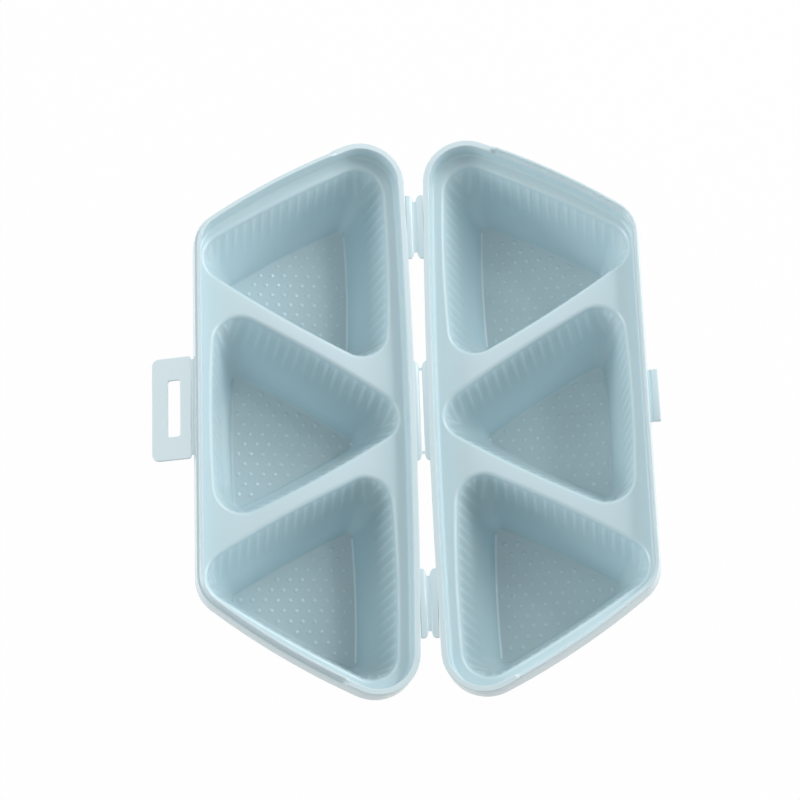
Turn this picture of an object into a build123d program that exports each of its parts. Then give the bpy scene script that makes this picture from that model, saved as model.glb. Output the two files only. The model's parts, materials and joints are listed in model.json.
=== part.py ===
from build123d import *
import math
import os

# Rice ball mould: two trays of three triangular cups, joined by thin hinge straps,
# with a hinged latch flap on the left tray and a catch bar on the right one.
# Millimetres and degrees. Each tray is drawn in its own frame, with x out from the hinge
# axis, y along it and z up from the parting plane, where the closed trays meet. The left
# tray is then mirrored, and both are tilted about the hinge axis into a shallow V.

# Cups
mouth_inradius = 27.3  # middle of the mouth to the middle of a side
mouth_corner_radius = 10.0
floor_inradius = 16.9
floor_corner_radius = 2.5
side_bow = 3.3  # half the angle that a bowed side turns through
cup_depth = 34.0  # from the deck to the floor, inside
wall = 1.5
mouth_edge_radius = 1.75
floor_edge_radius = 1.2

# Deck, which carries the cups, and the rim around it
web = 6.0  # deck between two neighbouring mouths
hinge_strip = 5.15  # deck between a corner cup and the rim on the hinge side
point_strip = 2.7  # deck between the middle cup's corner and that same rim
slant_strip = 4.7
outer_strip = 4.5
deck_depth = 8.2  # deck below the parting plane
rim_wall = 2.3
rim_foot_radius = 1.2
under_edge_radius = 1.2
hinge_side_radius = 3000.0  # the long sides are very slightly crowned
slant_side_radius = 277.0
slant_crown_shift = 5.0  # the crown of the slanted side, towards the hinge
hinge_corner_radius = 16.0
outer_corner_radius = 14.5

# Nesting lips on the slanted and outer sides
lip_height = 1.0
lip_width = 1.0
nesting_clearance = 0.3
lip_start = 30.5  # from the hinge axis to the step where the lips begin
parting_relief = 0.1  # plain rim and straps stay this far below the parting plane

# Hinge straps
tilt = 9.21  # each tray's outer side is raised this much
hinge_gap = 2.25  # hinge axis to the outer face of a tray
strap_thickness = 1.2
strap_past_cup = 11.65  # middle of an end strap, past the middle of a corner cup
end_strap_length = 26.0
middle_strap_length = 39.0
strap_corner = 2.6  # length that the rounded corner takes off the film, at each end
film_thickness = 0.3
film_reach = 0.28  # past the hinge axis, towards the right tray
leaf_start = 0.52  # hinge axis to the edge of a leaf
slit_bridge = 1.0  # film left at each end of the middle strap's slit

# Latch flap and catch bar
latch_root = 1.0  # outer face of the rim to the crease
latch_drop = 2.2  # crease below the parting plane
flap_droop = 23.2  # below the left tray's plane
flap_width = 39.8
flap_length = 15.6
flap_thickness = 1.0
flap_corner_radius = 2.7
flap_root_corner = 1.3
crease_half = 0.5  # crease to the edge of the flap
latch_film_length = 38.7
slot_length = 21.8
slot_width = 4.74
slot_from_crease = 7.1
slot_corner_radius = 0.8
catch_end_clearance = 0.85
catch_groove = 1.1
catch_bar_width = 2.75
catch_bar_thickness = 2.2
catch_web_thickness = 1.4
catch_corner_radius = 0.6

# Worked out from the sizes above
draft = math.degrees(math.atan((mouth_inradius - floor_inradius) / cup_depth))
skin = wall / math.cos(math.radians(draft))  # a cup's wall, measured level
deck_top = -deck_depth
deck_under = deck_top - wall
cup_under = deck_top - cup_depth - wall
bow_share = math.sin(math.radians(60 - side_bow)) / math.sin(math.radians(60))
mouth_side_radius = (mouth_inradius - bow_share * mouth_corner_radius) / (1 - bow_share)
corner_spread = math.sin(math.radians(side_bow)) / math.sin(math.radians(60))
mouth_reach = (mouth_side_radius - mouth_corner_radius) * corner_spread + mouth_corner_radius
corner_cup_x = hinge_gap + rim_wall + hinge_strip + mouth_inradius
middle_cup_x = hinge_gap + rim_wall + point_strip + mouth_reach
row_stagger = middle_cup_x - corner_cup_x
cup_pitch = (2 * mouth_inradius + web - row_stagger / 2) / math.cos(math.radians(30))
strap_spacing = cup_pitch + strap_past_cup
outer_face_x = middle_cup_x + mouth_inradius + outer_strip + rim_wall
ledge_top = -lip_height - nesting_clearance
crease_x = outer_face_x + latch_root
catch_z = latch_drop - slot_from_crease
under_floor_radius = floor_edge_radius + wall
tall = 4 * cup_depth  # longer than any tool needs to be

cups = {
    "back": (corner_cup_x, cup_pitch, 180),
    "middle": (middle_cup_x, 0, 0),
    "front": (corner_cup_x, -cup_pitch, 180),
}


def polar(radius, angle):
    """Point at a radius and an angle from the origin."""
    return Vector(radius * math.cos(math.radians(angle)), radius * math.sin(math.radians(angle)))


def rounded_triangle(inradius, corner_radius, first_normal):
    """Triangle of three bowed sides and three round corners, as one closed wire."""
    side_radius = (inradius - bow_share * corner_radius) / (1 - bow_share)
    corner_reach = (side_radius - corner_radius) * corner_spread
    edges = []
    for turn in range(3):
        normal = first_normal + 120 * turn
        side_centre = polar(inradius - side_radius, normal)
        corner_centre = polar(corner_reach, normal + 60)
        side = [side_centre + polar(side_radius, normal + step) for step in (-side_bow, 0, side_bow)]
        corner_angles = (normal + side_bow, normal + 60, normal + 120 - side_bow)
        corner = [corner_centre + polar(corner_radius, angle) for angle in corner_angles]
        edges.append(ThreePointArc(*side))
        edges.append(ThreePointArc(side[2], corner[1], corner[2]))
    return Wire(edges)


def cup_section(place, depth, skin_out):
    """A cup's outline at a depth below the deck, moved out by skin_out."""
    x, y, first_normal = place
    share = depth / cup_depth
    inradius = mouth_inradius + (floor_inradius - mouth_inradius) * share
    corner_radius = mouth_corner_radius + (floor_corner_radius - mouth_corner_radius) * share
    outline = rounded_triangle(inradius + skin_out, corner_radius + skin_out, first_normal)
    return Pos(x, y, deck_top - depth) * outline


def cup_form(place, top_depth, floor_depth, skin_out, edge_radius):
    """Tapered solid between two depths, with its lower edge rounded."""
    sections = [cup_section(place, depth, skin_out) for depth in (floor_depth, top_depth)]
    form = Solid.make_loft(sections, ruled=True)
    return form.fillet(edge_radius, form.faces().sort_by(Axis.Z)[0].edges())


def tray_outline(inset):
    """Plan of a tray as a face, moved in by inset from the rim's outer face."""
    reach = mouth_inradius + slant_strip + rim_wall - slant_side_radius
    slant_centre = Vector(corner_cup_x, cup_pitch) + polar(reach, 60) + polar(slant_crown_shift, 150)
    slant_disc = Circle(slant_side_radius - inset)
    hinge_disc = Circle(hinge_side_radius - inset)
    width = outer_face_x - inset
    plan = Pos(width - tall / 2, 0) * Rectangle(tall, 2 * tall)
    plan &= Pos(slant_centre.X, slant_centre.Y) * slant_disc
    plan &= Pos(slant_centre.X, -slant_centre.Y) * slant_disc
    plan &= Pos(hinge_gap + hinge_side_radius, 0) * hinge_disc
    plan = fillet(plan.vertices().sort_by(Axis.X)[:2], hinge_corner_radius - inset)
    return fillet(plan.vertices().sort_by(Axis.X)[-2:], outer_corner_radius - inset)


def prism(plan, low, high):
    """Solid over a plan, between two heights."""
    return extrude(Pos(0, 0, low) * plan, amount=high - low, dir=(0, 0, 1))


def slab(x_low, x_high, z_low):
    """Wide block between two distances from the hinge, from z_low upwards."""
    place = Pos((x_low + x_high) / 2, 0, z_low + tall / 2)
    return place * Box(x_high - x_low, 2 * tall, tall)


def lip_relief(lip_inside):
    """What is cut from the top of the rim to leave a nesting lip on one edge of it."""
    plain = slab(-tall, lip_start, -parting_relief)
    if lip_inside:
        keep = prism(tray_outline(lip_width + nesting_clearance), deck_under, tall)
        step = slab(lip_start, tall, ledge_top) - keep
    else:
        step = slab(lip_start, tall, ledge_top) & prism(tray_outline(lip_width), ledge_top, tall)
    return [plain, step]


def tray(lip_inside):
    """A whole tray as one solid: rim, deck and three cups."""
    body = prism(tray_outline(0), deck_under, lip_height)
    body = body.fillet(under_edge_radius, body.faces().sort_by(Axis.Z)[0].edges())
    pan = prism(tray_outline(rim_wall), deck_top, tall)
    pan = pan.fillet(rim_foot_radius, pan.faces().sort_by(Axis.Z)[0].edges())
    for place in cups.values():
        body += cup_form(place, 0, cup_depth + wall, skin, under_floor_radius)
    body -= pan
    for place in cups.values():
        body -= cup_form(place, -wall, cup_depth, 0, floor_edge_radius)
    for tool in lip_relief(lip_inside):
        body -= tool
    body = body.solid()
    level = body.faces().filter_by(Plane.XY)
    deck = level.filter_by(lambda face: len(face.inner_wires()) == len(cups)).sort_by(Axis.Z)[-1]
    mouths = [edge for loop in deck.inner_wires() for edge in loop.edges()]
    return body.fillet(mouth_edge_radius, mouths)


def tray_members(lip_inside):
    """The rim and deck, and the three cups below the deck, as separate solids."""
    whole = tray(lip_inside)
    under = Plane.XY.offset(deck_under)
    frame = split(whole, bisect_by=under, keep=Keep.TOP).solid()
    shells = split(whole, bisect_by=under, keep=Keep.BOTTOM).solids().sort_by(Axis.Y)
    members = {"tray_frame": frame}
    for name, shell in zip(("front", "middle", "back"), shells):
        members["cup_" + name] = shell
    return members


def strap_film_half(length):
    """Half the length of a strap where it crosses the hinge axis."""
    return length / 2 - strap_corner


def strap_leaf(length, y):
    """One half of a strap, from the rim to the edge of its film, with rounded corners."""
    square_x = (leaf_start + hinge_gap) / 2
    half = [(2 * hinge_gap, length / 2), (square_x, length / 2), (leaf_start, strap_film_half(length))]
    plan = make_face(Polyline(*half, *[(x, -along) for x, along in reversed(half)], close=True))
    plan = fillet(plan.vertices().sort_by(Axis.X)[2:4], (hinge_gap - leaf_start) / 2)
    leaf = prism(Pos(0, y, 0) * plan, -parting_relief - strap_thickness, -parting_relief)
    return (leaf - prism(tray_outline(0), deck_under, tall)).solid()


def strap_film(length, y):
    """Thin web that bends, from the edge of the left leaf to just past the hinge axis."""
    centre_x = (film_reach - leaf_start) / 2
    place = Pos(centre_x, y, -parting_relief - film_thickness / 2)
    return place * Box(leaf_start + film_reach, length, film_thickness)


def strap_films():
    """Films by node name. The middle strap is slit, with a bridge left at each end."""
    end_film = 2 * strap_film_half(end_strap_length)
    bridge_y = strap_film_half(middle_strap_length) - slit_bridge / 2
    return {
        "hinge_film_front": strap_film(end_film, -strap_spacing),
        "hinge_bridge_front": strap_film(slit_bridge, -bridge_y),
        "hinge_bridge_back": strap_film(slit_bridge, bridge_y),
        "hinge_film_back": strap_film(end_film, strap_spacing),
    }


def strap_leaves():
    """One tray's three strap leaves, by node name."""
    lengths = {"front": end_strap_length, "middle": middle_strap_length, "back": end_strap_length}
    leaves = {}
    for step, (name, length) in enumerate(lengths.items()):
        leaves["leaf_" + name] = strap_leaf(length, (step - 1) * strap_spacing)
    return leaves


def latch_root_leaf():
    """Short ledge on the left tray that carries the latch's film."""
    reach = latch_root - crease_half
    place = Pos(outer_face_x + reach / 2, 0, -latch_drop)
    return place * Box(reach, flap_width, flap_thickness)


def latch_film():
    """Thin web across the latch's crease, clear of the flap's edge."""
    reach = crease_half + film_reach
    place = Pos(crease_x + (film_reach - crease_half) / 2, 0, -latch_drop)
    return place * Box(reach, latch_film_length, film_thickness)


def latch_flap():
    """Flap with a slot for the catch bar, drawn level from the crease and then let droop."""
    middle_x = (crease_half + flap_length) / 2
    plan = Pos(middle_x, 0) * Rectangle(flap_length - crease_half, flap_width)
    plan = fillet(plan.vertices().sort_by(Axis.X)[:2], flap_root_corner)
    plan = fillet(plan.vertices().sort_by(Axis.X)[-2:], flap_corner_radius)
    slot = RectangleRounded(slot_width, slot_length, slot_corner_radius)
    plan -= Pos(slot_from_crease, 0) * slot
    flap = prism(plan, -flap_thickness / 2, flap_thickness / 2)
    return (Pos(crease_x, 0, -latch_drop) * Rotation(0, flap_droop, 0) * flap).solid()


def catch():
    """Bar that goes through the flap's slot, on a thinner web from the right tray."""
    length = slot_length - 2 * catch_end_clearance
    bar_x = outer_face_x + catch_groove + catch_bar_width / 2
    bar_plan = Pos(bar_x, 0) * RectangleRounded(catch_bar_width, length, catch_corner_radius)
    bar = prism(bar_plan, catch_z - catch_bar_thickness / 2, catch_z + catch_bar_thickness / 2)
    web_plan = Pos((outer_face_x + bar_x) / 2, 0) * Rectangle(bar_x - outer_face_x, length)
    web_half = catch_web_thickness / 2
    return (bar + prism(web_plan, catch_z - web_half, catch_z + web_half)).solid()


def standing_height():
    """Height of the hinge axis when the tilted trays stand on their corner cups' edges."""
    floor_reach = floor_inradius + skin - wall * math.tan(math.radians(draft))
    edge_run = under_floor_radius * math.tan(math.radians((90 - draft) / 2))
    edge_x = corner_cup_x - floor_reach + edge_run
    edge_z = cup_under + under_floor_radius
    lean = math.radians(tilt)
    return under_floor_radius - edge_x * math.sin(lean) - edge_z * math.cos(lean)


def side_shift():
    """Distance of the hinge axis from the middle of the open mould, to the right."""
    lean = math.radians(tilt)
    droop = math.radians(flap_droop - tilt)
    flap_reach = flap_length * math.cos(droop) + flap_thickness / 2 * math.sin(droop)
    left_reach = crease_x * math.cos(lean) + latch_drop * math.sin(lean) + flap_reach
    bar_edge_x = outer_face_x + catch_groove + catch_bar_width
    bar_edge_z = catch_z - catch_bar_thickness / 2
    right_reach = bar_edge_x * math.cos(lean) - bar_edge_z * math.sin(lean)
    return (left_reach - right_reach) / 2


def stand(member, lean):
    """A member, tilted about the hinge axis and set down with the mould's middle at the origin."""
    return Pos(side_shift(), 0, standing_height()) * Rotation(0, lean, 0) * member


def build():
    """Every node of the mould, by name. What is drawn for the left tray is mirrored."""
    left = {"left_" + name: member for name, member in tray_members(lip_inside=True).items()}
    right = {"right_" + name: member for name, member in tray_members(lip_inside=False).items()}
    for name, leaf in strap_leaves().items():
        left["left_" + name] = leaf
        right["right_" + name] = leaf
    left["latch_root_leaf"] = latch_root_leaf()
    left["latch_film"] = latch_film()
    left["latch_flap"] = latch_flap()
    right["catch_bar"] = catch()
    nodes = {name: stand(mirror(member, about=Plane.YZ), tilt) for name, member in left.items()}
    nodes.update({name: stand(film, tilt) for name, film in strap_films().items()})
    nodes.update({name: stand(member, -tilt) for name, member in right.items()})
    return nodes


os.makedirs("parts", exist_ok=True)
for node, solid in build().items():
    export_step(solid, "parts/" + node + ".step")
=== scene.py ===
"""Rice ball mould, open in a shallow V: two trays of three cups, hinge straps, latch flap and catch.

Lengths are in millimetres in a tray's own frame: x out from the hinge axis, y along it and z
up from the parting plane. place_left() and place_right() tilt them into the part's frame, in
metres, and place_left() mirrors them too.
"""

import json
import math

import bmesh
import bpy
import numpy as np
from mathutils import Euler, Matrix, Vector
from mathutils.geometry import delaunay_2d_cdt


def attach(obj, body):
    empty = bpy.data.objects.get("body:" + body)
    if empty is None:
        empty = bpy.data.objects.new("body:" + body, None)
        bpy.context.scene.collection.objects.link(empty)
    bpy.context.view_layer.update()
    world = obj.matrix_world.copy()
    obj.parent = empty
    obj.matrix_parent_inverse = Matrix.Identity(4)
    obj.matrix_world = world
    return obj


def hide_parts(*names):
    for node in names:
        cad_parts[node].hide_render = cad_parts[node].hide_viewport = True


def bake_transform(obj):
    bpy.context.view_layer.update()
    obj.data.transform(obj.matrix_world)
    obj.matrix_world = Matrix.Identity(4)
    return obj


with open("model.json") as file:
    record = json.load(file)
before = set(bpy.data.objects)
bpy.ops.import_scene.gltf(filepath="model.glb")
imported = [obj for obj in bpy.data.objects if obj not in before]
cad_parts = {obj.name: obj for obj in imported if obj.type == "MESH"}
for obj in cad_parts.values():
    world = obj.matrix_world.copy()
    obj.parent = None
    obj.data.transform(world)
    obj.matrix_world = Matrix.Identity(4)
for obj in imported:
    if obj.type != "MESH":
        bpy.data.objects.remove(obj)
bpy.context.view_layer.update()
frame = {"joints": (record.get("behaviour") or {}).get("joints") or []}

MM = 0.001

# Cups
MOUTH_INRADIUS = 27.3
MOUTH_CORNER = 10.0
FLOOR_INRADIUS = 16.9
FLOOR_CORNER = 2.5
SIDE_BOW = math.radians(3.3)
CUP_DEPTH = 34.0
WALL = 1.5
MOUTH_EDGE = 1.75
FLOOR_EDGE = 1.2
INSIDE_WALL_END = 1.3  # radii of the floor's edge, above the floor
OUTSIDE_WALL_END = 2.0  # above the floor

# Deck and rim
WEB = 6.0
HINGE_GAP = 2.25  # from the hinge axis to each rim
HINGE_STRIP = 5.15
POINT_STRIP = 2.7
SLANT_STRIP = 4.7
OUTER_STRIP = 4.5
DECK_DEPTH = 8.2
RIM_WALL = 2.3
RIM_FOOT = 1.2
RIM_FOOT_SHARE = 0.85  # of the way to a mouth, where one lies close to the rim
RIM_ROOT = RIM_WALL / 3  # how far the latch and the catch reach into the rim
UNDER_EDGE = 1.2
RIM_EDGE = 0.35
HINGE_SIDE_RADIUS = 3000.0
SLANT_SIDE_RADIUS = 277.0
SLANT_CROWN_SHIFT = 5.0
HINGE_CORNER = 16.0
OUTER_CORNER = 14.5
LIP_HEIGHT = 1.0
LIP_WIDTH = 1.0
NESTING_CLEARANCE = 0.3
LIP_START = 30.5  # from the hinge axis, on the slanted sides
LIP_RAMP = 2.5
LEDGE_FOOT = 0.6
PARTING_RELIEF = 0.1
TILT = math.radians(9.21)

# Hinge straps
STRAP_PAST_CUP = 11.65
END_STRAP = 26.0
MIDDLE_STRAP = 39.0
STRAP_CORNER = 2.6
LEAF_START = 0.52
LEAF_END = HINGE_GAP + 0.9
LEAF_TOP = -0.25
LEAF_UNDER = -1.3
LEAF_EDGE = 0.3
FILM_TOP = -0.38
FILM_UNDER = -0.62
FILM_EDGE = 0.1
SLIT_BRIDGE = 1.0

# Latch flap and catch bar
LATCH_ROOT = 1.0
LATCH_DROP = 2.2
FLAP_DROOP = math.radians(23.2)
FLAP_WIDTH = 39.8
FLAP_LENGTH = 15.6
FLAP_THICKNESS = 1.0
FLAP_CORNER = 2.7
FLAP_ROOT_CORNER = 1.3
FLAP_EDGE = 0.28
FLAT_MARGIN = 0.1
LEDGE_PLACES = (1, 0.85, 0.6)  # shares of the root, where the ledge narrows to its rounded corners
CREASE_HALF = 0.5
HALF_CREASE_FILM = 0.15
SLOT_LENGTH = 21.8
SLOT_WIDTH = 4.74
SLOT_FROM_CREASE = 7.1
SLOT_CORNER = 0.8
CATCH_LENGTH = 20.1
CATCH_GROOVE = 1.1
CATCH_BAR_WIDTH = 2.75
CATCH_BAR_THICKNESS = 2.2
CATCH_WEB_THICKNESS = 1.4
CATCH_WEB_EDGE = 0.15
CATCH_EDGE = 0.4

END_BEVEL = 0.3  # share of a bar's edge at which its rounded end has one more section

# Grip texture in the cups, with painted highlights on rib crests, dot tops and the floor's edges facing
# the hinge
RIB_PITCH = 4.08
RIB_WIDTH = 2.5
RIB_FLAT = 0.5
RIB_HEIGHT = 0.26
RIB_LEAN = 0.15
RIB_RISE = 1.5
RIB_FADE_START = 7.0
RIB_FADE_END = 20.0
RIB_PAINTED_HIGHLIGHT = 0.22
DOT_PITCH = 4.69
DOT_RADIUS = 0.95
DOT_HEIGHT = 0.2
DOT_MARGIN = 0.7
DOT_RINGS = (1.3, 1.0, 0.8, 0.5, 0.0)  # shares of its radius, from the floor around it to its tip
DOT_PAINTED_HIGHLIGHT = 0.3
FLOOR_EDGE_PAINTED_GLINT = 1.0
FLOOR_GLINT_FACING = (0.97, 0.995)  # how squarely a floor's edge faces the hinge to carry it

# How finely surfaces are made. A cup's columns are along each side and round each corner
INSIDE_COLUMNS = (190, 66)
OUTSIDE_COLUMNS = (16, 16)
MOUTH_ROWS = 8
RIBBED_ROWS = 18
PLAIN_ROWS = 8
OUTSIDE_ROWS = 6
ROUND_ROWS = 7
EDGE_POINTS = 6
DOT_POINTS = 12
SAME_POINT = 1e-6
SAME_CORNER = 1e-7
SHARP_ANGLE = math.radians(50)

DECK_TOP = -DECK_DEPTH
DECK_UNDER = DECK_TOP - WALL
FLOOR_TOP = DECK_TOP - CUP_DEPTH
CORNER_CUP_X = HINGE_GAP + RIM_WALL + HINGE_STRIP + MOUTH_INRADIUS
BOW_SHARE = math.sin(math.radians(60) - SIDE_BOW) / math.sin(math.radians(60))
CORNER_SPREAD = math.sin(SIDE_BOW) / math.sin(math.radians(60))
MOUTH_SIDE = (MOUTH_INRADIUS - BOW_SHARE * MOUTH_CORNER) / (1 - BOW_SHARE)
MOUTH_REACH = (MOUTH_SIDE - MOUTH_CORNER) * CORNER_SPREAD + MOUTH_CORNER
MIDDLE_CUP_X = HINGE_GAP + RIM_WALL + POINT_STRIP + MOUTH_REACH
ROW_STAGGER = MIDDLE_CUP_X - CORNER_CUP_X
CUP_PITCH = (2 * MOUTH_INRADIUS + WEB - ROW_STAGGER / 2) / math.cos(math.radians(30))
OUTER_FACE_X = MIDDLE_CUP_X + MOUTH_INRADIUS + OUTER_STRIP + RIM_WALL
LEDGE_TOP = -LIP_HEIGHT - NESTING_CLEARANCE
STRAP_SPACING = CUP_PITCH + STRAP_PAST_CUP
CREASE_X = OUTER_FACE_X + LATCH_ROOT
CATCH_Z = LATCH_DROP - SLOT_FROM_CREASE

hinge = [joint for joint in frame["joints"] if joint["name"] == "main_hinge"][0]
HINGE_AXIS = np.array(hinge["pos_m"]) / MM

# Looks, light and camera. Tones are painted shade and light: from 0, as on the deck, to 1, painted full
# shade, and below 0 painted light, paler
PLASTIC_PALE = (209, 232, 239)
PLASTIC_CLOUD = (205, 229, 236)
CUP_SHADE = (164, 184, 189)
# Colour of painted highlights and painted light
PAINTED_HIGHLIGHT_COLOUR = (236, 247, 250)
# Painted shade in the cups: darker below the mouth and darkest on the floor, and painted light, below
# 0, low on the walls
FLOOR_TONE = 0.4
CUP_TONES = (  # depth below the deck, and tone
    (0.0, 0.0),
    (2.0, 0.05),
    (5.0, 0.2),
    (8.0, 0.27),
    (15.0, 0.25),
    (21.0, 0.08),
    (28.0, -0.1),
    (32.8, -0.05),
    (CUP_DEPTH, FLOOR_TONE),
)
# Painted shade that changes with a cup's place: lighter outward, towards the ends and towards the back
TONE_PLACE_DEPTH = 5.0  # where a cup's tone comes to change fully with its place in the tray
TONE_OUTWARD = -0.006
TONE_TO_ENDS = -0.0015
TONE_TO_BACK = -0.0015
# Painted light on the rim, paler the higher it stands
RIM_PAINTED_LIGHT = 0.3
# Painted light: the latch and the catch lighter all over than the trays
LATCH_PAINTED_LIGHT = 0.4
CLOUD_SCALE = 28.0
GRAIN_SCALE = 1900.0
GRAIN_BUMP = 0.12
RIPPLE_SCALE = 95.0
RIPPLE_BUMP = 0.5
BUMP_STRENGTH = 0.35
BUMP_HEIGHT = 0.0002
ROUGHNESS = 0.32
CLOUD_ROUGHNESS = 0.08
PLASTIC_IOR = 1.49
COAT_WEIGHT = 0.5
COAT_ROUGHNESS = 0.12
GROUND_GREY = (0.72, 0.72, 0.72, 1)
WHITE = (1, 1, 1, 1)
GROUND_HALF = 3
GROUND_GLOW = 0.985
GROUND_DROP = 15.0
WORLD_LIGHT = 0.38
LAMP_AIM = (0, 0, 0.03)
LAMP_SQUARE = (0.45, 0.45)
LAMP_STRIP = (0.26, 0.06)
LAMPS = [
    ("back_right_lamp", (0.645, 0.645, 0.645), LAMP_SQUARE, 4.1),
    ("left_lamp", (-1.046, 0, 0.37), LAMP_SQUARE, 4.3),
    ("right_lamp", (1.052, 0, 0.352), LAMP_SQUARE, 3.5),
    ("right_strip_lamp", (0.62, 0.29, 0.82), LAMP_STRIP, 0.9),
    ("back_left_lamp", (-0.55, 0.65, 0.6), LAMP_SQUARE, 1.25),
]
CAMERA_LENS = 115.56
CAMERA_TURN = (-0.33059, 0.0173904, 0.02885)
CAMERA_SHIFT = (-8.110, 6.464, 964.55)
CAMERA_AIM = HINGE_AXIS - [0, 0, 8.307]

# For each cup: its middle, the direction of its first side, and where a floor dot lies
CUPS = {
    "back": {"x": CORNER_CUP_X, "y": CUP_PITCH, "turn": 180, "dot": (-0.9, -1.5)},
    "middle": {"x": MIDDLE_CUP_X, "y": 0, "turn": 0, "dot": (2.4, -0.9)},
    "front": {"x": CORNER_CUP_X, "y": -CUP_PITCH, "turn": 180, "dot": (-0.9, -0.3)},
}


def lean(points, angle):
    """Points turned about the hinge axis, so that positive x rises by an angle."""
    x, y, z = np.asarray(points, float).T
    turned_x = x * np.cos(angle) - z * np.sin(angle)
    turned_z = x * np.sin(angle) + z * np.cos(angle)
    return np.column_stack([turned_x, y, turned_z])


def place_left(points):
    """Points of the left tray's frame, as metres in the part's frame."""
    return (lean(points, TILT) * [-1, 1, 1] + HINGE_AXIS) * MM


def place_right(points):
    """Points of the right tray's frame, as metres in the part's frame."""
    return (lean(points, TILT) + HINGE_AXIS) * MM


def place_strap(points):
    """Points of a strap laid flat, bent at the hinge axis from one tray's tilt to the other's."""
    share = 2 * smooth_step(-LEAF_START, LEAF_START, points[:, 0]) - 1
    return (lean(points, TILT * share) + HINGE_AXIS) * MM


def place_latch(points):
    """Points of the latch laid flat, measured from its crease, with the flap bent down."""
    droop = FLAP_DROOP * smooth_step(-CREASE_HALF, CREASE_HALF, points[:, 0])
    return place_left(lean(points, -droop) + [CREASE_X, 0, -LATCH_DROP])


PLACING = {"left": place_left, "right": place_right}


def unit(angles):
    """Unit vectors at these angles, in plan."""
    return np.column_stack([np.cos(angles), np.sin(angles)])


def turn(x0, y0, radius, start, stop, count):
    """Points on an arc of a section or a plan, from one angle to another in degrees."""
    angles = np.radians(np.linspace(start, stop, count))
    return np.array([x0, y0]) + radius * unit(angles)


def smooth_step(low, high, value):
    """0 below low, 1 above high, and smooth between."""
    t = np.clip((value - low) / (high - low), 0, 1)
    return t * t * (3 - 2 * t)


class Member:
    """One moulded member: points and faces gathered as closed loops joined by strips."""

    def __init__(self, name, placing, tone=0.0):
        self.name = name
        self.placing = placing
        self.tone = tone
        self.points = []
        self.tones = []
        self.faces = []
        self.count = 0

    def ring(self, points, tone=0.0):
        """Adds points with how shaded they look, as a tone, and returns their numbers."""
        self.points.append(np.asarray(points, float))
        self.tones.append(np.broadcast_to(self.tone + tone, len(points)))
        numbers = np.arange(self.count, self.count + len(points))
        self.count += len(points)
        return numbers

    def loop(self, plan, z, tone=0.0):
        """Adds points over a plan and returns their numbers."""
        height = np.broadcast_to(np.asarray(z, float), len(plan))
        return self.ring(np.column_stack([plan, height]), tone)

    def strip(self, first, second):
        """Faces between two loops of as many points."""
        quads = np.column_stack([first, np.roll(first, -1), np.roll(second, -1), second])
        self.faces += quads.tolist()

    def fill(self, outer, holes=(), inner=()):
        """Skin inside a loop, around its round or bowed holes and through inner points."""
        everything = np.vstack(self.points)
        loops = [outer, *holes]
        numbers = np.concatenate([*loops, *inner])
        owner = np.full(len(numbers), -1)
        edges = []
        start = 0
        for loop_number, loop in enumerate(loops):
            here = np.arange(start, start + len(loop))
            edges += np.column_stack([here, np.roll(here, -1)]).tolist()
            owner[here] = loop_number
            start += len(loop)
        corners = [Vector(point[:2]) for point in everything[numbers]]
        result = delaunay_2d_cdt(corners, edges, [], 1, SAME_CORNER)
        origin = [sources[0] for sources in result[3]]
        for face in result[2]:
            local = [origin[corner] for corner in face]
            owners = set(owner[local])
            in_hole = len(owners) == 1 and owners.pop() > 0  # all corners on one hole's edge
            if not in_hole:
                self.faces.append(numbers[local].tolist())

    def build(self, material):
        """The finished piece, closed, facing outwards and smooth between its sharp edges."""
        mesh = bpy.data.meshes.new(self.name)
        mesh.from_pydata(self.placing(np.vstack(self.points)).tolist(), [], self.faces)
        # Each point's painted shade or painted light, as a tone
        tone = mesh.attributes.new("painted_shade_and_light", "FLOAT", "POINT")
        tone.data.foreach_set("value", np.concatenate(self.tones))
        return finish_mesh(mesh, self.name, material)


def finish_mesh(mesh, name, material):
    """Turns a mesh's faces outwards, smooths it between sharp edges and makes its object."""
    work = bmesh.new()
    work.from_mesh(mesh)
    bmesh.ops.recalc_face_normals(work, faces=work.faces)
    work.to_mesh(mesh)
    work.free()
    mesh.shade_smooth()
    mesh.set_sharp_from_angle(angle=SHARP_ANGLE)
    mesh.materials.append(material)
    piece = bpy.data.objects.new(name, mesh)
    bpy.context.scene.collection.objects.link(piece)
    return piece


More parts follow.
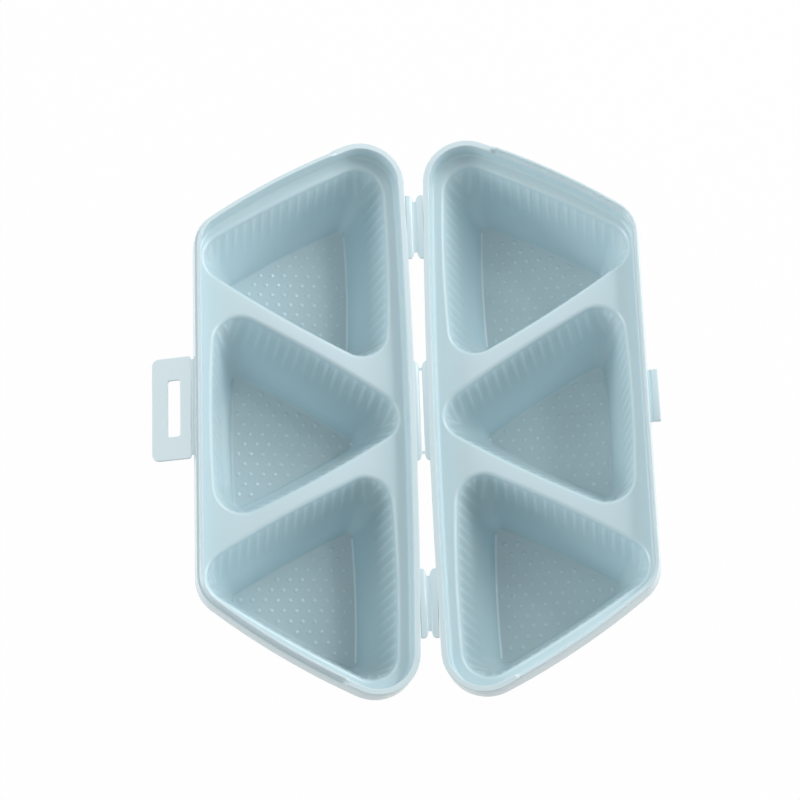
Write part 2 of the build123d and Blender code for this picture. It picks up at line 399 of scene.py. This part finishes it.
class CupOutline:
    """Mouth and floor outlines of a cup, with a point of each in every column."""

    def __init__(self, cup, side_columns, corner_columns):
        self.middle = np.array([cup["x"], cup["y"]], float)
        self.first = math.radians(cup["turn"])
        self.side_columns = side_columns
        self.corner_columns = corner_columns
        self.mouth, self.along_mouth = self.outline(MOUTH_INRADIUS, MOUTH_CORNER)
        self.floor, self.along_floor = self.outline(FLOOR_INRADIUS, FLOOR_CORNER)
        gap = np.sum((self.mouth - self.floor) * self.normal, axis=1)
        self.lean = np.arctan2(gap, CUP_DEPTH)

    def outline(self, inradius, corner):
        """A bowed triangle with round corners, and each point's place along the nearest side."""
        radius = (inradius - BOW_SHARE * corner) / (1 - BOW_SHARE)
        reach = (radius - corner) * CORNER_SPREAD
        half_side = radius * math.sin(SIDE_BOW)
        points = []
        normals = []
        along = []
        for number in range(3):
            facing = self.first + math.radians(120) * number
            bend = np.linspace(-SIDE_BOW, SIDE_BOW, self.side_columns, endpoint=False)
            normals.append(unit(facing + bend))
            points.append((inradius - radius) * unit([facing]) + radius * normals[-1])
            along.append(radius * np.sin(bend))
            corner_turn = math.radians(120) - 2 * SIDE_BOW
            bend = np.linspace(0, corner_turn, self.corner_columns, endpoint=False)
            normals.append(unit(facing + SIDE_BOW + bend))
            points.append(reach * unit([facing + math.radians(60)]) + corner * normals[-1])
            past_side = half_side + corner * np.minimum(bend, corner_turn - bend)
            along.append(np.where(bend < corner_turn / 2, past_side, -past_side))
        self.normal = np.vstack(normals)
        return self.middle + np.vstack(points), np.concatenate(along)

    def at(self, depth, out=0.0):
        """The wall's outline at a depth below the deck, moved out along its normals."""
        share = (np.broadcast_to(np.asarray(depth, float), len(self.mouth)) / CUP_DEPTH)[:, None]
        out = np.broadcast_to(np.asarray(out, float), len(self.mouth))[:, None]
        return self.mouth * (1 - share) + self.floor * share + out * self.normal

    def along(self, depth):
        """Place along the wall from the middle of its side, at a depth."""
        share = depth / CUP_DEPTH
        return self.along_mouth * (1 - share) + self.along_floor * share


def rib_crest(outline, depth):
    """How near each point of the wall is to a rib's crest at a depth, from 0 to 1."""
    fade = smooth_step(RIB_FADE_START, RIB_FADE_END, depth)
    strength = smooth_step(WALL, WALL + RIB_RISE, depth) * (1 - fade)
    place = outline.along(depth) + RIB_LEAN * depth * outline.normal[:, 0]
    off_crest = np.abs((place / RIB_PITCH + 0.5) % 1 - 0.5) * RIB_PITCH
    return strength * (1 - smooth_step(RIB_FLAT / 2, RIB_WIDTH / 2, off_crest))


def mouth_rows(outline):
    """Plan and height of the rounded mouth edge, from the deck down to the cup's own wall."""
    rows = []
    edge_out = MOUTH_EDGE * np.tan((math.pi / 2 - outline.lean) / 2)
    for share in np.linspace(0, 1, MOUTH_ROWS):
        angle = math.pi / 2 + share * (math.pi / 2 - outline.lean)
        drop = MOUTH_EDGE * (1 - np.sin(angle))
        wall_in = drop * np.tan(outline.lean)
        out = edge_out + MOUTH_EDGE * np.cos(angle) + wall_in
        rows.append((outline.at(drop, out), DECK_TOP - drop))
    rows.append((outline.at(WALL), DECK_UNDER))
    return rows


def wall_rows(outline):
    """Plan, height and painted highlight, as a paler tone, of the ribbed wall and the rounded edge of
    the floor.
    """
    rows = []
    plain_end = CUP_DEPTH - FLOOR_EDGE * INSIDE_WALL_END
    ribbed = np.linspace(WALL, RIB_FADE_END, RIBBED_ROWS)
    plain = np.linspace(RIB_FADE_END, plain_end, PLAIN_ROWS)[1:]
    for depth in np.concatenate([ribbed, plain]):
        crest = rib_crest(outline, depth)
        # Painted highlight on the rib crests
        rows.append((outline.at(depth, -RIB_HEIGHT * crest), DECK_TOP - depth, -RIB_PAINTED_HIGHLIGHT * crest))
    edge_in = FLOOR_EDGE * np.tan((math.pi / 2 - outline.lean) / 2)
    hinge_side = smooth_step(*FLOOR_GLINT_FACING, -outline.normal[:, 0])
    for share in np.linspace(0, 1, ROUND_ROWS):
        angle = -outline.lean - share * (math.pi / 2 - outline.lean)
        rise = FLOOR_EDGE * (1 + np.sin(angle))
        out = -edge_in + FLOOR_EDGE * np.cos(angle) - rise * np.tan(outline.lean)
        # Painted glint along the floor's edge where it faces the hinge
        line = -FLOOR_EDGE_PAINTED_GLINT * hinge_side * math.sin(math.pi * share) ** 2
        rows.append((outline.at(CUP_DEPTH - rise, out), FLOOR_TOP + rise, line))
    return rows


def floor_tone(plan, extra=0.0):
    """How shaded each point of a cup's floor looks, as on its wall."""
    return FLOOR_TONE + by_place(*plan.T) + extra


def dot_middles(cup, outline):
    """Middles of the floor's raised dots, on a staggered lattice inside the floor's edge."""
    row_pitch = DOT_PITCH * math.sin(math.radians(60))
    reach = int(2 * FLOOR_INRADIUS / row_pitch) + 1
    middles = []
    for row in range(-reach, reach + 1):
        for column in range(-reach, reach + 1):
            x = cup["x"] + cup["dot"][0] + (column + 0.5 * (row % 2)) * DOT_PITCH
            y = cup["y"] + cup["dot"][1] + row * row_pitch
            clear = np.min(np.sum((outline.floor - [x, y]) * outline.normal, axis=1))
            if clear > FLOOR_EDGE + DOT_MARGIN:
                middles.append((x, y))
    return middles


def fill_floor(member, rim, cup, outline):
    """The cup's floor with its raised dots, each a low dome of rings around a tip."""
    around = np.linspace(0, 2 * math.pi, DOT_POINTS, endpoint=False)
    inner = []
    for x, y in dot_middles(cup, outline):
        for share in DOT_RINGS:
            ring = np.array([x, y]) + DOT_RADIUS * share * unit(around)
            rise = max(0.0, 1 - share**2)
            plan = ring if share else ring.mean(axis=0, keepdims=True)
            # Painted highlight on each dot's top
            tone = floor_tone(plan, -DOT_PAINTED_HIGHLIGHT * rise)
            inner.append(member.loop(plan, FLOOR_TOP + DOT_HEIGHT * rise, tone))
    member.fill(rim, inner=inner)


def outer_cup_rows(outline):
    """Plan and height of the cup's outside, from the deck's underside to its flat bottom."""
    skin = WALL / np.cos(outline.lean)
    radius = FLOOR_EDGE + WALL
    rows = []
    for depth in np.linspace(WALL, CUP_DEPTH - OUTSIDE_WALL_END, OUTSIDE_ROWS):
        rows.append((outline.at(depth, skin), DECK_TOP - depth))
    edge_in = radius * np.tan((math.pi / 2 - outline.lean) / 2)
    for share in np.linspace(0, 1, ROUND_ROWS):
        angle = -outline.lean - share * (math.pi / 2 - outline.lean)
        rise = radius * (1 + np.sin(angle))
        depth = CUP_DEPTH + WALL - rise
        out = skin - edge_in + radius * np.cos(angle) - rise * np.tan(outline.lean)
        rows.append((outline.at(depth, out), DECK_TOP - depth))
    return rows


def by_place(x, y):
    """How much a cup's painted shade changes with the place in the tray, in plan."""
    return TONE_OUTWARD * (x - CORNER_CUP_X) + TONE_TO_ENDS * (np.abs(y) - CUP_PITCH) + TONE_TO_BACK * y


def wall_tone(plan, z, extra=0.0):
    """How shaded each point of a cup's wall looks, by its depth and its place in the tray."""
    depth = DECK_TOP - np.broadcast_to(z, len(plan))
    depths, tones = np.array(CUP_TONES).T
    inside = smooth_step(0, TONE_PLACE_DEPTH, depth)
    return np.interp(depth, depths, tones) + inside * by_place(*plan.T) + extra


def add_rows(member, rows, toned=False):
    """Adds rows as loops with strips between them, and returns the first and the last loop.

    Each row is its plan, its height and, where it differs, a tone to add.
    """
    loops = []
    for plan, z, *extra in rows:
        tone = wall_tone(plan, z, *extra) if toned else sum(extra)
        loops.append(member.loop(plan, z, tone))
    for first, second in zip(loops, loops[1:]):
        member.strip(first, second)
    return loops[0], loops[-1]


def make_cup(side, name, material):
    """One cup below the deck: ribbed wall, dotted floor and smooth outside."""
    cup = CUPS[name]
    member = Member(side + "_cup_" + name + "_shell", PLACING[side])
    fine = CupOutline(cup, *INSIDE_COLUMNS)
    plain = CupOutline(cup, *OUTSIDE_COLUMNS)
    top, rim = add_rows(member, wall_rows(fine), toned=True)
    fill_floor(member, rim, cup, fine)
    outer_top, bottom = add_rows(member, outer_cup_rows(plain))
    member.fill(bottom)
    member.fill(outer_top, holes=[top])
    piece = member.build(material)
    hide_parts(side + "_cup_" + name)
    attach(piece, side + "_tray")
    return piece


def circles_meet(first, first_radius, second, second_radius, upper):
    """Where two circles meet, taking the meeting point with the higher or the lower y."""
    between = second - first
    distance = np.linalg.norm(between)
    along = (distance**2 + first_radius**2 - second_radius**2) / (2 * distance)
    height = math.sqrt(first_radius**2 - along**2)
    ahead = between / distance
    across = np.array([-ahead[1], ahead[0]])
    meetings = [first + along * ahead + sign * height * across for sign in (1, -1)]
    meetings.sort(key=lambda point: point[1])
    return meetings[1] if upper else meetings[0]


def rim_arcs():
    """The hinge side's middle, and the arcs of the rim's back half from the latch to the hinge.

    Each arc has its middle, its radius, the angles that it runs between, its points, and how
    fully the nesting lip stands at its start and at its end.
    """
    reach = MOUTH_INRADIUS + SLANT_STRIP + RIM_WALL - SLANT_SIDE_RADIUS
    slant = np.array([CORNER_CUP_X, CUP_PITCH]) + reach * unit([math.radians(60)])[0]
    slant = slant + SLANT_CROWN_SHIFT * unit([math.radians(150)])[0]
    crown = np.array([HINGE_GAP + HINGE_SIDE_RADIUS, 0.0])
    crown_reach = HINGE_SIDE_RADIUS - HINGE_CORNER
    slant_reach = SLANT_SIDE_RADIUS - HINGE_CORNER
    near = circles_meet(crown, crown_reach, slant, slant_reach, True)
    far_x = OUTER_FACE_X - OUTER_CORNER
    far_y = slant[1] + math.sqrt((SLANT_SIDE_RADIUS - OUTER_CORNER) ** 2 - (far_x - slant[0]) ** 2)
    far = np.array([far_x, far_y])
    step_angle = math.acos((LIP_START - slant[0]) / SLANT_SIDE_RADIUS)
    slant_far = math.atan2(*(far - slant)[::-1])
    slant_near = math.atan2(*(near - slant)[::-1])
    hinge_near = math.atan2(*(near - crown)[::-1])
    ramp_angle = step_angle - LIP_RAMP / SLANT_SIDE_RADIUS
    arcs = [
        (far, OUTER_CORNER, 0, slant_far, 22, 1, 1),
        (slant, SLANT_SIDE_RADIUS, slant_far, ramp_angle, 16, 1, 1),
        (slant, SLANT_SIDE_RADIUS, ramp_angle, step_angle, 9, 1, 0),
        (slant, SLANT_SIDE_RADIUS, step_angle, slant_near, 3, 0, 0),
        (near, HINGE_CORNER, slant_near, hinge_near, 34, 0, 0),
    ]
    return crown, arcs


def tray_outline():
    """The rim's outer face in plan: points, outward normals, and how fully each has its lip."""
    crown, arcs = rim_arcs()
    points = []
    normals = []
    lips = []
    for centre, radius, start, stop, count, lip_start, lip_stop in arcs:
        angles = np.linspace(start, stop, count)
        normals.append(unit(angles))
        points.append(centre + radius * normals[-1])
        lips.append(lip_stop + (lip_start - lip_stop) * smooth_step(0, 1, np.linspace(1, 0, count)))
    points = np.vstack(points)
    normals = np.vstack(normals)
    lips = np.concatenate(lips)
    keep = np.ones(len(points), bool)
    keep[1:] = np.linalg.norm(np.diff(points, axis=0), axis=1) > SAME_POINT
    points, normals, lips = points[keep], normals[keep], lips[keep]
    mirror = np.array([1, -1])
    side_y = np.linspace(points[-1][1], -points[-1][1], 13)[1:-1]
    side_bend = np.arcsin(side_y / HINGE_SIDE_RADIUS)
    side_normals = -np.column_stack([np.cos(side_bend), -np.sin(side_bend)])
    side_points = crown + HINGE_SIDE_RADIUS * side_normals
    points = np.vstack([points, side_points, points[::-1] * mirror])
    normals = np.vstack([normals, side_normals, normals[::-1] * mirror])
    lips = np.concatenate([lips, np.zeros(len(side_y)), lips[::-1]])
    return points, normals, lips


def rim_section(outer_top, inner_top, step):
    """The rim's section from its underside over its top to the deck, as (inset, height)."""
    edge = RIM_EDGE
    foot = LEDGE_FOOT
    count = EDGE_POINTS
    under = turn(UNDER_EDGE, DECK_UNDER + UNDER_EDGE, UNDER_EDGE, 270, 180, count)
    outside = turn(edge, outer_top - edge, edge, 180, 90, count)
    inside = turn(RIM_WALL - edge, inner_top - edge, edge, 90, 0, count)
    if outer_top == inner_top:
        across = np.linspace(1.5 * edge, RIM_WALL - 1.5 * edge, 2 * count)
        between = np.column_stack([across, np.full(2 * count, outer_top)])
    elif inner_top > outer_top:
        cove = turn(step - foot, outer_top + foot, foot, 270, 360, count)
        between = np.vstack([cove, turn(step + edge, inner_top - edge, edge, 180, 90, count)])
    else:
        cove = turn(step + foot, inner_top + foot, foot, 180, 270, count)
        between = np.vstack([turn(step - edge, outer_top - edge, edge, 90, 0, count), cove])
    return np.vstack([under, outside, between, inside])


def foot_rows(points, normals, mouths):
    """Rounded foot of the rim's inner wall, smaller where a mouth comes close to it."""
    wall_foot = points - RIM_WALL * normals
    edges = np.vstack([rows[0][0] for rows in mouths])
    apart = np.linalg.norm(wall_foot[:, None, :] - edges[None, :, :], axis=2).min(axis=1)
    radius = np.minimum(RIM_FOOT, RIM_FOOT_SHARE * apart)
    rows = []
    for angle in np.radians(np.linspace(180, 270, ROUND_ROWS)):
        inset = RIM_WALL + radius * (1 + math.cos(angle))
        rows.append((points - inset[:, None] * normals, DECK_TOP + radius * (1 + math.sin(angle))))
    return rows


def make_tray_frame(side, material):
    """Rim and deck of a tray, with the nesting lip on the inside on the left tray."""
    member = Member(side + "_tray_shell", PLACING[side])
    mouth_edges = [mouth_rows(CupOutline(cup, *INSIDE_COLUMNS)) for cup in CUPS.values()]
    points, normals, lips = tray_outline()
    plain = rim_section(-PARTING_RELIEF, -PARTING_RELIEF, RIM_WALL / 2)
    if side == "left":
        lipped = rim_section(LEDGE_TOP, LIP_HEIGHT, LIP_WIDTH + NESTING_CLEARANCE)
    else:
        lipped = rim_section(LIP_HEIGHT, LEDGE_TOP, LIP_WIDTH)
    rows = []
    for plain_point, lip_point in zip(plain, lipped):
        inset = plain_point[0] + (lip_point[0] - plain_point[0]) * lips
        height = plain_point[1] + (lip_point[1] - plain_point[1]) * lips
        # Painted light: the rim paler the higher it stands above the deck
        paler = -RIM_PAINTED_LIGHT * smooth_step(DECK_TOP, 0, height)
        rows.append((points - inset[:, None] * normals, height, paler))
    rows += foot_rows(points, normals, mouth_edges)
    outer_bottom, pan_foot = add_rows(member, rows)
    mouths = []
    unders = []
    for edge in mouth_edges:
        mouth, under = add_rows(member, edge, toned=True)
        mouths.append(mouth)
        unders.append(under)
    member.fill(pan_foot, holes=mouths)
    member.fill(outer_bottom, holes=unders)
    piece = member.build(material)
    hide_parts(side + "_tray_frame")
    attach(piece, side + "_tray")
    return piece


def rounded_section(low, high, edge):
    """Rectangle between two corners with rounded edges, as points."""
    corners = [(high[0] - edge, high[1] - edge), (low[0] + edge, high[1] - edge)]
    corners += [(low[0] + edge, low[1] + edge), (high[0] - edge, low[1] + edge)]
    arcs = [turn(x, y, edge, 90 * step, 90 * step + 90, 4) for step, (x, y) in enumerate(corners)]
    return np.vstack(arcs)


def add_bar(member, stations, along_y=False):
    """A bar with a rounded section, given as (place, low, high, edge) from end to end."""
    loops = []
    for where, low, high, edge in stations:
        section = rounded_section(low, high, edge)
        steady = np.full(len(section), where)
        first, second = (section[:, 0], steady) if along_y else (steady, section[:, 0])
        loops.append(member.ring(np.column_stack([first, second, section[:, 1]])))
    for first, second in zip(loops, loops[1:]):
        member.strip(first, second)
    member.faces += [loops[0].tolist(), loops[-1].tolist()]


def leaf_half(x, length):
    """Half the length of a strap at a distance from the hinge, with its rounded corner."""
    share = np.clip((x - LEAF_START) / (HINGE_GAP - LEAF_START), 0, 1)
    return length / 2 - STRAP_CORNER * (1 - math.sqrt(1 - (1 - share) ** 2))


def make_strap(name, y, length, bridges, nodes, material):
    """A hinge strap: two leaves joined by a thin film, or by a short bridge at each end."""
    member = Member("hinge_strap_" + name, place_strap)
    insets = [(0, LEAF_EDGE), (END_BEVEL * LEAF_EDGE, END_BEVEL * LEAF_EDGE)]
    insets += [(step, 0) for step in np.linspace(LEAF_EDGE, LEAF_END - LEAF_START, 12)]
    for side in (-1, 1):
        stations = []
        for step, inset in insets:
            x = LEAF_START + step
            half = leaf_half(x, length) - inset
            low = (y - half, LEAF_UNDER + inset)
            high = (y + half, LEAF_TOP - inset)
            stations.append((side * x, low, high, LEAF_EDGE))
        add_bar(member, stations)
    film_half = length / 2 - STRAP_CORNER
    spans = [(-film_half, film_half)]
    if bridges:
        spans = [(-film_half, SLIT_BRIDGE - film_half), (film_half - SLIT_BRIDGE, film_half)]
    for start, stop in spans:
        low = (y + start, FILM_UNDER)
        high = (y + stop, FILM_TOP)
        reach = LEAF_START + LEAF_EDGE
        add_bar(member, [(x, low, high, FILM_EDGE) for x in np.linspace(-reach, reach, 13)])
    piece = member.build(material)
    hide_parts(*nodes)
    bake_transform(piece)
    return piece


def rounded_plan(x_low, x_high, half, low_corner, high_corner):
    """Rectangle in plan with two sizes of corner: its points and outward normals."""
    corners = [(x_high, half, high_corner, 0), (x_low, half, low_corner, 90)]
    corners += [(x_low, -half, low_corner, 180), (x_high, -half, high_corner, 270)]
    points = []
    normals = []
    for x, y, radius, start in corners:
        outward_x = math.copysign(radius, x - (x_low + x_high) / 2)
        outward_y = math.copysign(radius, y)
        middle = np.array([x - outward_x, y - outward_y])
        normals.append(unit(np.radians(np.linspace(start, start + 90, 8))))
        points.append(middle + radius * normals[-1])
    return np.vstack(points), np.vstack(normals)


def plate_edge(thickness, edge):
    """How far a plate's rounded edge lies in from its outline, and how high, from top to bottom."""
    flat_point = [[edge + FLAT_MARGIN, thickness / 2]]  # keeps the face flat up to its edge
    upper = np.vstack([flat_point, turn(edge, thickness / 2 - edge, edge, 90, 180, 4)])
    return np.vstack([upper, upper[::-1] * [1, -1]])


def make_latch(material):
    """Ledge, thin film and slotted flap of the latch, in one piece that bends at the film."""
    # Painted light: the whole latch paler
    member = Member("latch_flap_and_film", place_latch, -LATCH_PAINTED_LIGHT)
    ledge_in = -LATCH_ROOT - RIM_ROOT
    ledge = [-share * LATCH_ROOT for share in LEDGE_PLACES]
    stations = []
    for x in (ledge_in, *ledge, -CREASE_HALF):
        narrowing = FLAP_ROOT_CORNER * smooth_step(-LATCH_ROOT, 0, x)
        half = FLAP_WIDTH / 2 - narrowing
        stations.append((x, (-half, -FLAP_THICKNESS / 2), (half, FLAP_THICKNESS / 2), FLAP_EDGE))
    add_bar(member, stations)
    film = FLAP_WIDTH / 2 - FLAP_ROOT_CORNER
    reach = CREASE_HALF + FLAP_EDGE
    low = (-film, -HALF_CREASE_FILM)
    high = (film, HALF_CREASE_FILM)
    add_bar(member, [(x, low, high, FILM_EDGE) for x in np.linspace(-reach, reach, 11)])
    flap_corners = (FLAP_ROOT_CORNER, FLAP_CORNER)
    plan, normals = rounded_plan(CREASE_HALF, FLAP_LENGTH, FLAP_WIDTH / 2, *flap_corners)
    slot_low = SLOT_FROM_CREASE - SLOT_WIDTH / 2
    slot_high = SLOT_FROM_CREASE + SLOT_WIDTH / 2
    slot_corners = (SLOT_CORNER, SLOT_CORNER)
    slot, slot_normals = rounded_plan(slot_low, slot_high, SLOT_LENGTH / 2, *slot_corners)
    profile = plate_edge(FLAP_THICKNESS, FLAP_EDGE)
    top, bottom = add_rows(member, [(plan - inset * normals, z) for inset, z in profile])
    slot_top, slot_bottom = add_rows(member, [(slot + inset * slot_normals, z) for inset, z in profile])
    member.fill(top, holes=[slot_top])
    member.fill(bottom, holes=[slot_bottom])
    piece = member.build(material)
    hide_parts("latch_root_leaf", "latch_film", "latch_flap")
    crease_ends = (CREASE_X - CREASE_HALF, CREASE_X + CREASE_HALF)
    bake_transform(piece)
    return piece


def make_catch(material):
    """Catch bar with rounded edges, on its thinner web."""
    # Painted light: the whole catch paler
    member = Member("catch_bar_and_web", place_right, -LATCH_PAINTED_LIGHT)
    bar_start = OUTER_FACE_X + CATCH_GROOVE
    parts = [
        (OUTER_FACE_X - RIM_ROOT, bar_start + CATCH_EDGE, CATCH_WEB_THICKNESS / 2, CATCH_WEB_EDGE),
        (bar_start, bar_start + CATCH_BAR_WIDTH, CATCH_BAR_THICKNESS / 2, CATCH_EDGE),
    ]
    for x_low, x_high, half, edge in parts:
        reach = CATCH_LENGTH / 2
        bevel = END_BEVEL * edge
        ends = [(reach, edge), (reach - bevel, bevel), (reach - edge, 0.0)]
        stations = []
        for y, inset in [(-y, inset) for y, inset in ends] + ends[::-1]:
            low = (x_low + inset, CATCH_Z - half + inset)
            high = (x_high - inset, CATCH_Z + half - inset)
            stations.append((y, low, high, edge))
        add_bar(member, stations, along_y=True)
    piece = member.build(material)
    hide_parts("catch_bar")
    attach(piece, "right_tray")
    return piece


class Channel:
    """The output of a shader node, which sums and products can use as a number."""

    def __init__(self, tree, socket):
        self.tree = tree
        self.socket = socket

    def maths(self, operation, first, second):
        """A number worked out from two others by one node."""
        return add_node(self.tree, "ShaderNodeMath", {"operation": operation}, {0: first, 1: second})

    def __add__(self, other):
        return self.maths("ADD", self, other)

    __radd__ = __add__

    def __mul__(self, other):
        return self.maths("MULTIPLY", self, other)

    __rmul__ = __mul__


def add_node(tree, kind, settings=None, inputs=None, output=0):
    """Adds a shader node with its settings, then the values and links of its sockets."""
    node = tree.nodes.new(kind)
    for name, value in (settings or {}).items():
        setattr(node, name, value)
    for name, value in (inputs or {}).items():
        if isinstance(value, Channel):
            tree.links.new(value.socket, node.inputs[name])
        else:
            node.inputs[name].default_value = value
    return Channel(tree, node.outputs[output]) if len(node.outputs) else None


def mix_colours(tree, share, first, second):
    """The first colour where share is 0 and the second where it is 1."""
    return add_node(tree, "ShaderNodeMix", {"data_type": "RGBA"}, {0: share, 6: first, 7: second}, 2)


def noise(tree, place, scale, detail):
    """A soft random pattern from 0 to 1, fixed to the object."""
    return add_node(tree, "ShaderNodeTexNoise", {}, {"Vector": place, "Scale": scale, "Detail": detail})


def new_material(name):
    """An empty material and its node tree."""
    material = bpy.data.materials.new(name)
    material.use_nodes = True
    material.node_tree.nodes.clear()
    return material, material.node_tree


def linear(red, green, blue):
    """A colour as it looks on screen, from 0 to 255, as the shader's own light values."""
    parts = [value / 255 for value in (red, green, blue)]
    return (*[part / 12.92 if part < 0.04045 else ((part + 0.055) / 1.055) ** 2.4 for part in parts], 1)


def pale_blue_plastic():
    """Softly glossy moulded plastic with faint clouding and a fine moulded surface, coloured with
    painted shade and painted highlights from each point's tone.
    """
    material, tree = new_material("pale_blue_plastic")
    place_in = add_node(tree, "ShaderNodeTexCoord", output=3)
    clouds = noise(tree, place_in, CLOUD_SCALE, 3.0)
    grain = noise(tree, place_in, GRAIN_SCALE, 2.0)
    ripple = noise(tree, place_in, RIPPLE_SCALE, 2.0)
    tone = add_node(tree, "ShaderNodeAttribute", {"attribute_name": "painted_shade_and_light"}, output=2)
    pale = mix_colours(tree, clouds, linear(*PLASTIC_CLOUD), linear(*PLASTIC_PALE))
    # Painted shade towards the shade colour where the tone is above 0, painted highlight towards the
    # highlight colour where it is below 0
    shaded = mix_colours(tree, tone, pale, linear(*CUP_SHADE))
    colour = mix_colours(tree, -1 * tone, shaded, linear(*PAINTED_HIGHLIGHT_COLOUR))
    height = GRAIN_BUMP * grain + RIPPLE_BUMP * ripple
    bump = add_node(
        tree,
        "ShaderNodeBump",
        {},
        {"Strength": BUMP_STRENGTH, "Distance": BUMP_HEIGHT, "Height": height},
    )
    skin = add_node(
        tree,
        "ShaderNodeBsdfPrincipled",
        {},
        {
            "Base Color": colour,
            "Roughness": ROUGHNESS + CLOUD_ROUGHNESS * clouds,
            "IOR": PLASTIC_IOR,
            "Coat Weight": COAT_WEIGHT,
            "Coat Roughness": COAT_ROUGHNESS,
            "Normal": bump,
        },
    )
    add_node(tree, "ShaderNodeOutputMaterial", {}, {"Surface": skin})
    return material


def seen_by_eye(tree):
    """1 for rays from the camera, a reflection or a clear material, and 0 for rays that only light."""
    kinds = ("Is Camera Ray", "Is Glossy Ray", "Is Transmission Ray")
    camera, glossy, clear = [add_node(tree, "ShaderNodeLightPath", output=kind) for kind in kinds]
    return camera + glossy + clear


def white_ground():
    """White floor that looks white to the camera and still takes the object's shadow."""
    material, tree = new_material("white_ground")
    matte = add_node(tree, "ShaderNodeBsdfDiffuse", {}, {"Color": GROUND_GREY})
    glow = add_node(tree, "ShaderNodeEmission", {}, {"Color": WHITE, "Strength": 1.0})
    share = GROUND_GLOW * seen_by_eye(tree)
    both = add_node(tree, "ShaderNodeMixShader", {}, {0: share, 1: matte, 2: glow})
    add_node(tree, "ShaderNodeOutputMaterial", {}, {"Surface": both})
    return material


def make_ground():
    """Wide white floor, low enough to clear the right tray when it lies flat with the left."""
    mesh = bpy.data.meshes.new("ground")
    signs = ((-1, -1), (1, -1), (1, 1), (-1, 1))
    corners = [(x * GROUND_HALF, y * GROUND_HALF, 0) for x, y in signs]
    mesh.from_pydata(corners, [], [(0, 1, 2, 3)])
    mesh.materials.append(white_ground())
    ground = bpy.data.objects.new("ground", mesh)
    ground.location = (0, 0, -GROUND_DROP * MM)
    bpy.context.scene.collection.objects.link(ground)


def light_world():
    """Even white surroundings, with a full white background for the camera."""
    world = bpy.data.worlds.new("studio")
    bpy.context.scene.world = world
    world.use_nodes = True
    tree = world.node_tree
    tree.nodes.clear()
    strength = WORLD_LIGHT + (1 - WORLD_LIGHT) * seen_by_eye(tree)
    background = add_node(tree, "ShaderNodeBackground", {}, {"Color": WHITE, "Strength": strength})
    add_node(tree, "ShaderNodeOutputWorld", {}, {"Surface": background})


def add_lamp(name, place, size, energy):
    """A rectangular soft lamp that faces the middle of the mould."""
    lamp = bpy.data.lights.new(name, "AREA")
    lamp.shape = "RECTANGLE"
    lamp.size, lamp.size_y = size
    lamp.energy = energy
    holder = bpy.data.objects.new(name, lamp)
    holder.location = place
    towards = Vector(LAMP_AIM) - Vector(place)
    holder.rotation_euler = towards.to_track_quat("-Z", "Y").to_euler()
    bpy.context.scene.collection.objects.link(holder)


def make_camera():
    """The photograph's view: nearly from above, a little from the front."""
    camera = bpy.data.cameras.new("camera")
    camera.sensor_width = 36
    camera.lens = CAMERA_LENS
    camera.clip_end = 20
    holder = bpy.data.objects.new("camera", camera)
    turned = Euler(CAMERA_TURN).to_matrix().transposed()
    spot = turned @ Vector(CAMERA_SHIFT) + Vector(CAMERA_AIM)
    holder.matrix_world = Matrix.Translation(spot * MM) @ turned.to_4x4()
    bpy.context.scene.collection.objects.link(holder)
    bpy.context.scene.camera = holder


plastic = pale_blue_plastic()
for side in PLACING:
    make_tray_frame(side, plastic)
    for name in CUPS:
        make_cup(side, name, plastic)
leaves = {name: ["left_leaf_" + name, "right_leaf_" + name] for name in ("front", "middle", "back")}
make_strap("front", -STRAP_SPACING, END_STRAP, False, [*leaves["front"], "hinge_film_front"], plastic)
make_strap("back", STRAP_SPACING, END_STRAP, False, [*leaves["back"], "hinge_film_back"], plastic)
bridge_nodes = ["hinge_bridge_front", "hinge_bridge_back"]
make_strap("middle", 0, MIDDLE_STRAP, True, [*leaves["middle"], *bridge_nodes], plastic)
make_latch(plastic)
make_catch(plastic)

make_ground()
light_world()
for lamp in LAMPS:
    add_lamp(*lamp)
make_camera()
bpy.context.scene.view_settings.view_transform = "Standard"
